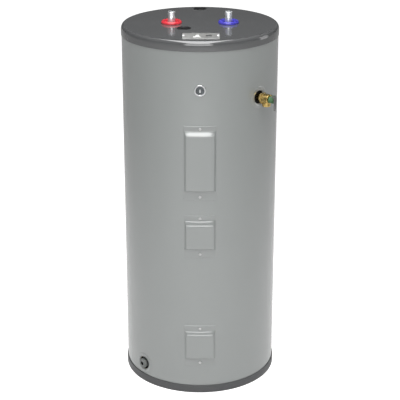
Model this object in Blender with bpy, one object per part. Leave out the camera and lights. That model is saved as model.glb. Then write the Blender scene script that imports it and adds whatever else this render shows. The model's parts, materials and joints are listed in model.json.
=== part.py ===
"""Electric tank water heater, floor standing, about 565 mm wide and 1.38 m tall.

Frame: +Z up, origin on the floor under the middle of the tank, front of the heater towards -Y.
Everything is in metres. The heater is built as it comes apart on a bench: a steel jacket with a top cap and a
base pan, the glass-lined tank in its foam, the pipe nipples, the relief and drain valves, and behind
three removable panels the heating elements, thermostats and the high-limit switch.
"""

from math import cos, pi, radians, sin, sqrt, tau

import bmesh
import bpy
from mathutils import Matrix, Vector

# ---- driving dimensions ------------------------------------------------------------------------
GAP = 0.0003                # air left between two pieces that touch
SHELL_SIDES = 64            # facets round the jacket, cap and base pan
CORE_SIDES = 32             # facets round the tank and the foam
PIPE_SIDES = 20
SMALL_SIDES = 8

CAP_RADIUS = 0.2825
CAP_TOP = 1.336             # flat top of the cap above the floor
CAP_FLAT_RADIUS = 0.2718
CAP_SHOULDER = 0.017        # height of the rounded shoulder
CAP_HEIGHT = 0.036
CAP_WALL = 0.0012

JACKET_RADIUS = 0.2806
JACKET_WALL = 0.0008
JACKET_BOTTOM = 0.004
JACKET_TOP = 1.315

PAN_RADIUS = 0.2865
PAN_HEIGHT = 0.0305
PAN_WALL = 0.0012

TANK_RADIUS = 0.229
TANK_WALL = 0.0025
TANK_BOTTOM = 0.036         # lower edge of the skirt
TANK_FLOOR = 0.048          # where the bottom head meets the wall
TANK_SHOULDER = 1.215       # where the top head begins
TOP_DOME = 0.060
BOTTOM_DOME = 0.045

FOAM_RADIUS = 0.2788
FOAM_BOTTOM = 0.0021
FOAM_TOP = 1.3332
FOAM_CLEARANCE = 0.0006     # between the tank and the foam

PIPE_RADIUS = 0.01335       # 3/4 in pipe, 26.7 mm outside
PIPE_BORE = 0.0104
BORE_RADIUS = 0.0137        # tapped hole for a 3/4 in thread
NIPPLE_SPACING = 0.2032     # 8 in between the water connections
NIPPLE_TOP = 1.378
NIPPLE_BOTTOM = 1.2575
BOSS_RADIUS = 0.021
CAP_HOLE_RADIUS = 0.0235
WELL_RADIUS = 0.0238        # opening in the foam above each top boss
ANODE_PLACE = (-0.057, -0.083)
FILL_PLACE = (0.0, 0.239)   # foam filling port, outside the tank

COVER = (-0.061, 0.067, -0.246, -0.161)         # wiring cover: low x, high x, low y, high y
WIRING_BOX = (-0.052, 0.058, -0.243, -0.164)
BOX_FLOOR = 1.2915
BOX_WALL = 0.001
KNOCKOUT_PLACE = (0.030, -0.203)
KNOCKOUT_RADIUS = 0.011
COVER_SCREW_X = (-0.0567, 0.0627)
COVER_SCREW_Y = -0.2035
WIRE_RADIUS = 0.003
WIRE_Y = -0.235

RELIEF_ANGLE = 47.3         # degrees from the front towards +X
RELIEF_HEIGHT = 1.117
RELIEF_HOLE = 0.024
LEVER_PIVOT = (0.0138, 0.3425)                  # height over the valve axis, distance from the tank axis
DRAIN_ANGLE = -48.7
DRAIN_HEIGHT = 0.074
DRAIN_HOLE = 0.025
SIDE_WELL_RADIUS = 0.0252

PANEL_HALF_WIDTH = 0.0575
PANEL_FOOT = 0.055          # half width of the raised part where it leaves the flange
PANEL_FACE = 0.048          # half width of its face
PANEL_RAISE = 0.009
PANEL_WALL = 0.0009
HATCH_HALF_WIDTH = 0.043    # half width of the jacket's cut-out behind a panel
# heights on each panel: flange, raised part, face, screws, element axis and thermostat
PANELS = {
    "upper": {"flange": (0.764, 1.038), "raised": (0.797, 1.018), "face": (0.802, 1.003),
              "screws": (0.7785, 1.0275), "element": 0.838, "thermostat": (0.888, 0.944)},
    "middle": {"flange": (0.545, 0.708), "raised": (0.577, 0.687), "face": (0.582, 0.669),
               "screws": (0.5595, 0.6965), "element": 0.605, "thermostat": (0.6275, 0.680)},
    "lower": {"flange": (0.111, 0.276), "raised": (0.141, 0.253), "face": (0.146, 0.238),
              "screws": (0.1255, 0.2640), "element": 0.169, "thermostat": (0.1915, 0.244)},
}
HIGH_LIMIT = (0.948, 0.990)
HARDWARE_BACK = 0.2297      # distance of the thermostats' backs from the tank axis
BADGE_HEIGHT = 1.165
BADGE_RADIUS = 0.020

SCREW_HOLE = 0.0022
COVER_WALL = 0.0014
BOSS_TOP = 1.285
ELEMENT_BOSS = 0.0215
ELEMENT_SEAT = 0.2345       # outer face of the element bosses
ELEMENT_BORE = 0.0170
DIAL_X = 0.0120
GROUND_PLACE = (-0.030, -0.180)
OUTLET_OUT = 0.3136         # relief outlet's distance from the tank axis
OUTLET_DROP = 0.034
DAM = (0.2620, 0.2794)      # foam dams in the jacket's round holes, from and to the tank axis
SIDE_PORTS = ((RELIEF_ANGLE, RELIEF_HEIGHT), (DRAIN_ANGLE, DRAIN_HEIGHT))

# name: base colour, metallic, roughness
MATERIALS = {
    "jacket_paint": ((0.32, 0.34, 0.335, 1), 0.0, 0.45),
    "cap_paint": ((0.12, 0.12, 0.125, 1), 0.0, 0.3),
    "tank_steel": ((0.20, 0.21, 0.24, 1), 0.3, 0.4),
    "foam": ((0.85, 0.74, 0.45, 1), 0.0, 0.9),
    "galvanised": ((0.70, 0.72, 0.72, 1), 0.9, 0.35),
    "brass": ((0.72, 0.53, 0.23, 1), 1.0, 0.3),
    "steel": ((0.45, 0.45, 0.45, 1), 1.0, 0.35),
    "copper": ((0.72, 0.40, 0.25, 1), 1.0, 0.35),
    "magnesium": ((0.55, 0.55, 0.53, 1), 0.8, 0.6),
    "black_plastic": ((0.02, 0.02, 0.02, 1), 0.0, 0.5),
    "grey_plastic": ((0.40, 0.41, 0.41, 1), 0.0, 0.5),
    "white_plastic": ((0.80, 0.80, 0.78, 1), 0.0, 0.45),
    "green_plastic": ((0.10, 0.30, 0.12, 1), 0.0, 0.5),
    "red_plastic": ((0.65, 0.05, 0.07, 1), 0.0, 0.4),
    "blue_plastic": ((0.07, 0.06, 0.50, 1), 0.0, 0.4),
    "black_foam": ((0.012, 0.012, 0.012, 1), 0.0, 0.9),
    "insulation": ((0.75, 0.72, 0.62, 1), 0.0, 0.95),
    "wire": ((0.03, 0.03, 0.03, 1), 0.0, 0.5),
}


# ---- tools -------------------------------------------------------------------------------------
def material(name):
    """Return the named Principled material, making it the first time."""
    found = bpy.data.materials.get(name)
    if found:
        return found
    colour, metallic, roughness = MATERIALS[name]
    made = bpy.data.materials.new(name)
    made.use_nodes = True
    shader = made.node_tree.nodes["Principled BSDF"]
    shader.inputs["Base Color"].default_value = colour
    shader.inputs["Metallic"].default_value = metallic
    shader.inputs["Roughness"].default_value = roughness
    made.diffuse_color = colour
    return made


def place(name, bm, look=None, parent=None, at=None):
    """Turn a bmesh into an object at the matrix `at` under `parent`."""
    bmesh.ops.recalc_face_normals(bm, faces=bm.faces)
    mesh = bpy.data.meshes.new(name)
    bm.to_mesh(mesh)
    bm.free()
    mesh.shade_smooth()
    mesh.set_sharp_from_angle(angle=radians(32))
    thing = bpy.data.objects.new(name, mesh)
    bpy.context.collection.objects.link(thing)
    thing.parent = parent
    if at is not None:
        thing.matrix_local = at
    if look:
        mesh.materials.append(material(look))
    return thing


def trim(target, operation, bm):
    """Add a Boolean that cuts the bmesh from the target, or joins it to it, in the target's own space."""
    tool = place(f"{target.name}_{operation.lower()}_{len(target.modifiers)}", bm, parent=target)
    tool.hide_render = True
    tool.hide_set(True)
    tool.display_type = "WIRE"
    step = target.modifiers.new(operation.title(), "BOOLEAN")
    step.operation = operation
    step.solver = "EXACT"
    step.object = tool


def radial_frame(angle, height):
    """Local Z points out from the tank axis at this angle, local Y up and local X sideways."""
    turn = radians(angle)
    out = Vector((sin(turn), -cos(turn), 0))
    up = Vector((0, 0, 1))
    frame = Matrix((up.cross(out), up, out)).transposed().to_4x4()
    frame.translation = (0, 0, height)
    return frame


def stand(name, angle, height):
    """An empty on a radial axis, parent of all the pieces that share it."""
    axis = bpy.data.objects.new(name, None)
    bpy.context.collection.objects.link(axis)
    axis.matrix_world = radial_frame(angle, height)
    return axis


def upright(x, y):
    return Matrix.Translation((x, y, 0))


def turned(bm, outline, sides, at=None):
    """Revolve a closed (radius, height) outline round local Z. Radius 0 is a point on the axis."""
    at = at or Matrix()
    rings = []
    for radius, height in outline:
        if radius == 0:
            rings.append([bm.verts.new(at @ Vector((0, 0, height)))])
            continue
        spots = [(radius * cos(tau * i / sides), radius * sin(tau * i / sides)) for i in range(sides)]
        rings.append([bm.verts.new(at @ Vector((x, y, height))) for x, y in spots])
    for ring, after in zip(rings, rings[1:] + rings[:1]):
        if len(ring) == 1 and len(after) == 1:
            continue
        for i in range(sides):
            j = (i + 1) % sides
            corners = [ring[i % len(ring)], ring[j % len(ring)], after[j % len(after)], after[i % len(after)]]
            bm.faces.new(list(dict.fromkeys(corners)))
    return bm


def rod(bm, radius, low, high, sides=PIPE_SIDES, at=None):
    return turned(bm, [(0, low), (radius, low), (radius, high), (0, high)], sides, at)


def hexagon(bm, across_flats, low, high, at=None):
    return rod(bm, across_flats / sqrt(3), low, high, 6, at)


def block(bm, x, y, z):
    """An axis-aligned box between the given (low, high) pairs."""
    size = Matrix.Diagonal((x[1] - x[0], y[1] - y[0], z[1] - z[0], 1))
    middle = Matrix.Translation(((x[0] + x[1]) / 2, (y[0] + y[1]) / 2, (z[0] + z[1]) / 2))
    bmesh.ops.create_cube(bm, size=1, matrix=middle @ size)
    return bm


def tube(bm, path, radius, sides):
    """A round bar along a path, with flat ends."""
    path = [Vector(p) for p in path]
    ways = [(b - a).normalized() for a, b in zip(path, path[1:])]
    side = ways[0].orthogonal().normalized()
    rings = []
    for i, point in enumerate(path):
        way = (ways[max(i - 1, 0)] + ways[min(i, len(ways) - 1)]).normalized()
        side = (side - way * side.dot(way)).normalized()
        across = way.cross(side)
        spread = radius / max(way.dot(ways[min(i, len(ways) - 1)]), 0.5)
        turns = [tau * k / sides for k in range(sides)]
        rings.append([bm.verts.new(point + (side * cos(t) + across * sin(t)) * spread) for t in turns])
    for ring, after in zip(rings, rings[1:]):
        for i in range(sides):
            j = (i + 1) % sides
            bm.faces.new((ring[i], ring[j], after[j], after[i]))
    bm.faces.new(rings[0])
    bm.faces.new(rings[-1])
    return bm


def arc(centre, radius, start, end, steps):
    """Points (a, b) round a centre from one angle to another, in degrees."""
    angles = [radians(start + (end - start) * i / steps) for i in range(steps + 1)]
    return [(centre[0] + radius * cos(a), centre[1] + radius * sin(a)) for a in angles]


def dome(radius, foot, rise, steps):
    """Points of a dished head from its centre out to its rim."""
    angles = [pi / 2 * i / steps for i in range(steps + 1)]
    points = [(radius * sin(a), foot + rise * cos(a)) for a in angles]
    return [(0, foot + rise)] + points[1:]


# ---- casing ------------------------------------------------------------------------------------
def make_jacket():
    tube_wall = [(JACKET_RADIUS, JACKET_BOTTOM), (JACKET_RADIUS, JACKET_TOP),
                 (JACKET_RADIUS - JACKET_WALL, JACKET_TOP), (JACKET_RADIUS - JACKET_WALL, JACKET_BOTTOM)]
    jacket = place("jacket", turned(bmesh.new(), tube_wall, SHELL_SIDES), "jacket_paint")
    holes = bmesh.new()
    for panel in PANELS.values():
        low, high = panel["face"]
        block(holes, (-HATCH_HALF_WIDTH, HATCH_HALF_WIDTH), (-0.30, -0.25), (low + 0.001, high - 0.001))
        for height in panel["screws"]:
            rod(holes, SCREW_HOLE, 0.27, 0.29, 8, radial_frame(0, height))
    rod(holes, RELIEF_HOLE, 0.25, 0.31, PIPE_SIDES, radial_frame(RELIEF_ANGLE, RELIEF_HEIGHT))
    rod(holes, DRAIN_HOLE, 0.25, 0.31, PIPE_SIDES, radial_frame(DRAIN_ANGLE, DRAIN_HEIGHT))
    trim(jacket, "DIFFERENCE", holes)


def make_top_cap():
    skirt = CAP_TOP - CAP_HEIGHT
    rim = CAP_TOP - CAP_SHOULDER
    step_in = CAP_RADIUS - CAP_FLAT_RADIUS
    shoulder = [(CAP_FLAT_RADIUS + step_in * sin(radians(a)), rim + CAP_SHOULDER * cos(radians(a)))
                for a in (0, 30, 60, 90)]
    inside = [(CAP_FLAT_RADIUS + (step_in - CAP_WALL) * sin(radians(a)),
               rim + (CAP_SHOULDER - CAP_WALL) * cos(radians(a))) for a in (90, 0)]
    outline = [(0, CAP_TOP)] + shoulder + [(CAP_RADIUS, skirt), (CAP_RADIUS - CAP_WALL, skirt)]
    outline += inside + [(0, CAP_TOP - CAP_WALL)]
    cap = place("top_cap", turned(bmesh.new(), outline, SHELL_SIDES), "cap_paint")
    holes = bmesh.new()
    below, above = CAP_TOP - 0.01, CAP_TOP + 0.01
    for x, y in [(-NIPPLE_SPACING / 2, 0), (NIPPLE_SPACING / 2, 0), ANODE_PLACE, FILL_PLACE]:
        rod(holes, CAP_HOLE_RADIUS, below, above, 24, upright(x, y))
    block(holes, (WIRING_BOX[0] + 0.002, WIRING_BOX[1] - 0.002),
          (WIRING_BOX[2] + 0.002, WIRING_BOX[3] - 0.002), (below, above))
    for x in COVER_SCREW_X:
        rod(holes, SCREW_HOLE, below, above, 8, upright(x, COVER_SCREW_Y))
    trim(cap, "DIFFERENCE", holes)


def make_base_pan():
    lip = JACKET_RADIUS + 0.0007
    inner = PAN_RADIUS - PAN_WALL
    outline = [(0, 0), (PAN_RADIUS - 0.002, 0), (PAN_RADIUS, 0.002), (PAN_RADIUS, PAN_HEIGHT - 0.003),
               (PAN_RADIUS - 0.003, PAN_HEIGHT), (lip, PAN_HEIGHT), (lip, PAN_HEIGHT - PAN_WALL),
               (inner, PAN_HEIGHT - 0.004), (inner, PAN_WALL), (0, PAN_WALL)]
    place("base_pan", turned(bmesh.new(), outline, SHELL_SIDES), "cap_paint")


def make_badge():
    back = JACKET_RADIUS + GAP
    outline = [(0, back), (BADGE_RADIUS, back), (BADGE_RADIUS, back + 0.0012),
               (BADGE_RADIUS - 0.0008, back + 0.002), (0, back + 0.002)]
    place("badge", turned(bmesh.new(), outline, 32, radial_frame(0, BADGE_HEIGHT)), "galvanised")


# ---- tank, foam and what hangs in the tank -----------------------------------------------------
def tank_outside(grow=0.0):
    """Outline of the tank's outside, which the foam's cavity follows with some clearance."""
    wall = TANK_RADIUS + grow
    top = dome(wall, TANK_SHOULDER, TOP_DOME + grow, 4)
    if grow:
        return top + [(wall, TANK_BOTTOM - grow), (0, TANK_BOTTOM - grow)]
    skirt = TANK_RADIUS - TANK_WALL
    under = dome(skirt, TANK_FLOOR, BOTTOM_DOME, 3)[::-1]
    return top + [(wall, TANK_BOTTOM), (skirt, TANK_BOTTOM)] + under


def make_tank():
    tank = place("tank", turned(bmesh.new(), tank_outside(), CORE_SIDES), "tank_steel")
    bosses = bmesh.new()
    for x, y in [(-NIPPLE_SPACING / 2, 0), (NIPPLE_SPACING / 2, 0), ANODE_PLACE]:
        rod(bosses, BOSS_RADIUS, 1.255, BOSS_TOP, 12, upright(x, y))
    for panel in PANELS.values():
        rod(bosses, ELEMENT_BOSS, 0.2230, ELEMENT_SEAT, 14, radial_frame(0, panel["element"]))
    for angle, height in SIDE_PORTS:
        rod(bosses, BOSS_RADIUS, 0.2220, 0.238, 12, radial_frame(angle, height))
    trim(tank, "UNION", bosses)
    inside = TANK_RADIUS - TANK_WALL
    water = dome(inside, TANK_SHOULDER, TOP_DOME - TANK_WALL, 4)
    water += dome(inside, TANK_FLOOR + TANK_WALL, BOTTOM_DOME, 3)[::-1]
    trim(tank, "DIFFERENCE", turned(bmesh.new(), water, CORE_SIDES))
    bores = bmesh.new()
    for x, y in [(-NIPPLE_SPACING / 2, 0), (NIPPLE_SPACING / 2, 0), ANODE_PLACE]:
        rod(bores, BORE_RADIUS, 1.24, 1.30, 16, upright(x, y))
    for panel in PANELS.values():
        rod(bores, ELEMENT_BORE, 0.20, 0.25, 16, radial_frame(0, panel["element"]))
    for angle, height in SIDE_PORTS:
        rod(bores, BORE_RADIUS, 0.20, 0.25, 16, radial_frame(angle, height))
    trim(tank, "DIFFERENCE", bores)


def make_foam():
    outline = [(0, FOAM_BOTTOM), (FOAM_RADIUS, FOAM_BOTTOM), (FOAM_RADIUS, 1.313), (0.267, FOAM_TOP),
               (0, FOAM_TOP)]
    foam = place("foam_insulation", turned(bmesh.new(), outline, CORE_SIDES), "foam")
    trim(foam, "DIFFERENCE", turned(bmesh.new(), tank_outside(FOAM_CLEARANCE), CORE_SIDES))
    ducts = bmesh.new()
    block(ducts, (-0.006, 0.006), (WIRE_Y - 0.006, WIRE_Y + 0.006), (1.0, 1.30))
    block(ducts, (0.036, 0.0435), (-0.2445, -0.232), (0.67, 0.81))
    block(ducts, (-0.0435, -0.036), (-0.2445, -0.232), (0.24, 0.59))
    rod(ducts, SCREW_HOLE, BOX_FLOOR - 0.0125, 1.30, 8, upright(*GROUND_PLACE))
    trim(foam, "DIFFERENCE", ducts)
    wells = bmesh.new()
    for x, y in [(-NIPPLE_SPACING / 2, 0), (NIPPLE_SPACING / 2, 0), ANODE_PLACE]:
        rod(wells, WELL_RADIUS, 1.25, 1.35, 16, upright(x, y))
    rod(wells, WELL_RADIUS, 1.31, 1.35, 16, upright(*FILL_PLACE))
    for angle, height in SIDE_PORTS:
        rod(wells, SIDE_WELL_RADIUS, 0.2275, 0.30, 16, radial_frame(angle, height))
    for panel in PANELS.values():
        low, high = panel["raised"]
        block(wells, (-0.044, 0.044), (-0.30, -0.222), (low + 0.001, high - 0.001))
        for height in panel["screws"]:
            rod(wells, SCREW_HOLE, 0.2705, 0.285, 8, radial_frame(0, height))
    block(wells, (-0.060, 0.066), (WIRING_BOX[2] - 0.001, WIRING_BOX[3] + 0.001), (BOX_FLOOR - 0.0005, 1.35))
    trim(foam, "DIFFERENCE", wells)


def make_dip_tube():
    wall = [(0.0100, 0.205), (0.0100, 1.352), (0.0085, 1.352), (0.0085, 0.205)]
    place("dip_tube", turned(bmesh.new(), wall, 20), "grey_plastic", at=upright(NIPPLE_SPACING / 2, 0))


def make_anode_rod():
    shape = [(0, 0.42), (0.008, 0.42), (0.010, 0.422), (0.010, 1.258), (0.0133, 1.260), (0.0133, 1.290),
             (0, 1.290)]
    anode = place("anode_rod", turned(bmesh.new(), shape, 20), "magnesium", at=upright(*ANODE_PLACE))
    trim(anode, "UNION", hexagon(bmesh.new(), 0.027, BOSS_TOP + GAP, 1.299))


# ---- pipe connections on the cap ---------------------------------------------------------------
def make_nipple(name, x):
    chamfer = 0.0012
    wall = [(PIPE_RADIUS - chamfer, NIPPLE_BOTTOM), (PIPE_RADIUS, NIPPLE_BOTTOM + chamfer),
            (PIPE_RADIUS, NIPPLE_TOP - chamfer), (PIPE_RADIUS - chamfer, NIPPLE_TOP),
            (PIPE_BORE, NIPPLE_TOP), (PIPE_BORE, NIPPLE_BOTTOM)]
    place(name, turned(bmesh.new(), wall, PIPE_SIDES), "galvanised", at=upright(x, 0))


def make_ring(name, x, look):
    """Coloured escutcheon: a rounded collar on the cap with a sleeve down into the cap's hole."""
    seat = CAP_TOP + GAP
    sleeve = CAP_HOLE_RADIUS - 0.0004
    outline = [(sleeve, 1.326), (sleeve, seat), (0.0366, seat), (0.0368, 1.3405), (0.0335, 1.3458),
               (0.0270, 1.3458), (0.0214, 1.3400), (0.0214, 1.326)]
    place(name, turned(bmesh.new(), outline, 24), look, at=upright(x, 0))


def make_plug(name, spot):
    """Dished snap-in plug that closes a round hole in the cap."""
    seat = CAP_TOP + GAP
    stem = CAP_HOLE_RADIUS - 0.0004
    outline = [(0, 1.3347), (0.0195, 1.3347), (0.0205, 1.3376), (0.0243, 1.3376), (0.0250, seat),
               (stem, seat), (stem, 1.3290), (0.0212, 1.3290), (0.0205, 1.3330), (0, 1.3330)]
    place(name, turned(bmesh.new(), outline, PIPE_SIDES), "black_plastic", at=upright(*spot))


def make_wiring_box():
    low_x, high_x, low_y, high_y = WIRING_BOX
    top = CAP_TOP - CAP_WALL - GAP
    sheet = block(bmesh.new(), (low_x, high_x), (low_y, high_y), (BOX_FLOOR, top))
    box = place("junction_box", sheet, "galvanised")
    room = block(bmesh.new(), (low_x + BOX_WALL, high_x - BOX_WALL), (low_y + BOX_WALL, high_y - BOX_WALL),
                 (BOX_FLOOR + BOX_WALL, top + 0.01))
    trim(box, "DIFFERENCE", room)
    holes = rod(bmesh.new(), 0.0045, BOX_FLOOR - 0.01, BOX_FLOOR + 0.01, 16, upright(0, WIRE_Y))
    rod(holes, 0.0021, BOX_FLOOR - 0.01, BOX_FLOOR + 0.01, 8, upright(*GROUND_PLACE))
    trim(box, "DIFFERENCE", holes)


def make_wiring_cover():
    low_x, high_x, low_y, high_y = COVER
    seat = CAP_TOP + GAP
    sheet = block(bmesh.new(), (low_x, high_x), (low_y, high_y), (seat, seat + COVER_WALL))
    cover = place("junction_box_cover", sheet, "galvanised")
    holes = rod(bmesh.new(), KNOCKOUT_RADIUS, seat - 0.01, seat + 0.01, PIPE_SIDES, upright(*KNOCKOUT_PLACE))
    for x in COVER_SCREW_X:
        rod(holes, SCREW_HOLE, seat - 0.01, seat + 0.01, 8, upright(x, COVER_SCREW_Y))
    trim(cover, "DIFFERENCE", holes)


def make_screw(name, at, seat, look="galvanised"):
    """Washer-head screw: its head sits on `seat`, its shank runs below it."""
    low = seat + GAP
    outline = [(0, low - 0.011), (0.0018, low - 0.008), (0.0018, low), (0.0050, low),
               (0.0050, low + 0.0010), (0.0038, low + 0.0030), (0, low + 0.0034)]
    place(name, turned(bmesh.new(), outline, SMALL_SIDES), look, at=at)


# ---- hatches on the front ----------------------------------------------------------------------
def make_panel(name, panel):
    """Sheet cover bent to the jacket, with a raised middle whose edges slope."""
    flange, raised, face = panel["flange"], panel["raised"], panel["face"]
    columns = [(-PANEL_HALF_WIDTH, 0), (-PANEL_FOOT, 0), (-PANEL_FACE, 1), (-PANEL_FACE / 2, 1), (0, 1),
               (PANEL_FACE / 2, 1), (PANEL_FACE, 1), (PANEL_FOOT, 0), (PANEL_HALF_WIDTH, 0)]
    rows = [(flange[0], 0), (raised[0], 0), (face[0], 1), (face[1], 1), (raised[1], 0), (flange[1], 0)]
    bm = bmesh.new()
    skins = []
    for lift in (GAP, GAP + PANEL_WALL):
        skin = []
        for height, row_up in rows:
            line = []
            for across, column_up in columns:
                radius = JACKET_RADIUS + lift + PANEL_RAISE * row_up * column_up
                turn = across / JACKET_RADIUS
                line.append(bm.verts.new((radius * sin(turn), -radius * cos(turn), height)))
            skin.append(line)
        skins.append(skin)
    last_row, last_column = len(rows) - 1, len(columns) - 1
    for skin in skins:
        for r in range(last_row):
            for c in range(last_column):
                bm.faces.new((skin[r][c], skin[r][c + 1], skin[r + 1][c + 1], skin[r + 1][c]))
    inner, outer = skins
    for r in (0, last_row):
        for c in range(last_column):
            bm.faces.new((inner[r][c], inner[r][c + 1], outer[r][c + 1], outer[r][c]))
    for c in (0, last_column):
        for r in range(last_row):
            bm.faces.new((inner[r][c], inner[r + 1][c], outer[r + 1][c], outer[r][c]))
    cover = place(f"{name}_access_panel", bm, "jacket_paint")
    holes = bmesh.new()
    for height in panel["screws"]:
        rod(holes, SCREW_HOLE, 0.27, 0.29, 8, radial_frame(0, height))
    trim(cover, "DIFFERENCE", holes)


def make_pad(name, panel):
    low, high = panel["face"]
    edge = HATCH_HALF_WIDTH - 0.0015
    pad = block(bmesh.new(), (-edge, edge), (-0.2860, -0.2625), (low + 0.0022, high - 0.0022))
    place(f"{name}_insulation_pad", pad, "insulation")


def make_element(name, panel):
    """Screw-in heating element: hex head, thread, folded sheath and terminal block, one sealed unit."""
    at = radial_frame(0, panel["element"])
    seat = ELEMENT_SEAT + GAP
    shape = [(0, 0.2195), (0.0166, 0.2195), (0.0166, seat + 0.004), (0, seat + 0.004)]
    element = place(f"{name}_heating_element", turned(bmesh.new(), shape, PIPE_SIDES), "copper", at=at)
    head = hexagon(bmesh.new(), 0.038, seat, seat + 0.0085)
    trim(element, "UNION", head)
    trim(element, "UNION", rod(bmesh.new(), 0.0130, seat + 0.005, 0.2520, 16))
    half, turn_depth = 0.0105, -0.050
    bend = [(x, 0, turn_depth + y) for x, y in arc((0, 0), half, 180, 360, 6)]
    sheath = tube(bmesh.new(), [(-half, 0, 0.2250)] + bend + [(half, 0, 0.2250)], 0.004, 8)
    trim(element, "UNION", sheath)


def make_thermostat(name, panel):
    low, high = panel["thermostat"]
    middle = (low + high) / 2
    at = radial_frame(0, middle)
    half = (high - low) / 2
    body = block(bmesh.new(), (-0.0335, 0.0335), (-half, half), (HARDWARE_BACK, 0.2440))
    box = place(f"{name}_thermostat", body, "black_plastic", at=at)
    trim(box, "UNION", block(bmesh.new(), (-0.026, 0.026), (-half + 0.008, half - 0.008), (0.2435, 0.2540)))
    dial = [(0, 0.2543), (0.0085, 0.2543), (0.0085, 0.2570), (0.0075, 0.2580), (0, 0.2580)]
    place(f"{name}_thermostat_dial", turned(bmesh.new(), dial, 16), "white_plastic",
          at=radial_frame(0, middle) @ Matrix.Translation((DIAL_X, 0, 0)))


def make_high_limit():
    low, high = HIGH_LIMIT
    at = radial_frame(0, (low + high) / 2)
    half = (high - low) / 2
    case = block(bmesh.new(), (-0.0275, 0.0275), (-half, half), (HARDWARE_BACK, 0.2520))
    switch = place("high_limit_switch", case, "black_plastic", at=at)
    trim(switch, "DIFFERENCE", rod(bmesh.new(), 0.0048, 0.2440, 0.26, 16))
    button = [(0, 0.2470), (0.0044, 0.2470), (0.0044, 0.2560), (0.0036, 0.2570), (0, 0.2570)]
    place("reset_button", turned(bmesh.new(), button, 16), "red_plastic", at=at)


def make_wiring():
    feed = [(0.012, -0.205, 1.3225), (0.006, -0.220, 1.3235), (0.001, -0.232, 1.318), (0, WIRE_Y, 1.308),
            (0, WIRE_Y, 1.10), (0, WIRE_Y, HIGH_LIMIT[1] + 0.0006)]
    place("supply_wiring", tube(bmesh.new(), feed, WIRE_RADIUS, 8), "wire")
    thin = 0.0025
    runs = (("middle_wiring", 1, "upper", "middle"), ("lower_wiring", -1, "middle", "lower"))
    for name, side, above, below in runs:
        high = sum(PANELS[above]["thermostat"]) / 2
        low = sum(PANELS[below]["thermostat"]) / 2
        near, out, y = side * 0.0341, side * 0.0397, -0.2385
        run = [(near, y, high), (side * 0.0378, y, high - 0.0008), (out, y, high - 0.006),
               (out, y, low + 0.006), (side * 0.0378, y, low + 0.0008), (near, y, low)]
        place(name, tube(bmesh.new(), run, thin, 8), "wire")


# ---- side valves -------------------------------------------------------------------------------
def saddle_ring(bm, inner, outer, low, high, sides=24):
    """A flat collar bent to the jacket, between two radii round a radial axis."""
    rings = []
    for radius, lift in ((inner, low), (inner, high), (outer - 0.002, high), (outer, low)):
        ring = []
        for i in range(sides):
            x, y = radius * cos(tau * i / sides), radius * sin(tau * i / sides)
            ring.append(bm.verts.new((x, y, sqrt((JACKET_RADIUS + lift) ** 2 - x * x))))
        rings.append(ring)
    for ring, after in zip(rings, rings[1:] + rings[:1]):
        for i in range(sides):
            j = (i + 1) % sides
            bm.faces.new((ring[i], ring[j], after[j], after[i]))
    return bm


def sleeve(bm, inner, outer, low, high, sides=PIPE_SIDES):
    return turned(bm, [(inner, low), (outer, low), (outer, high), (inner, high)], sides)


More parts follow.
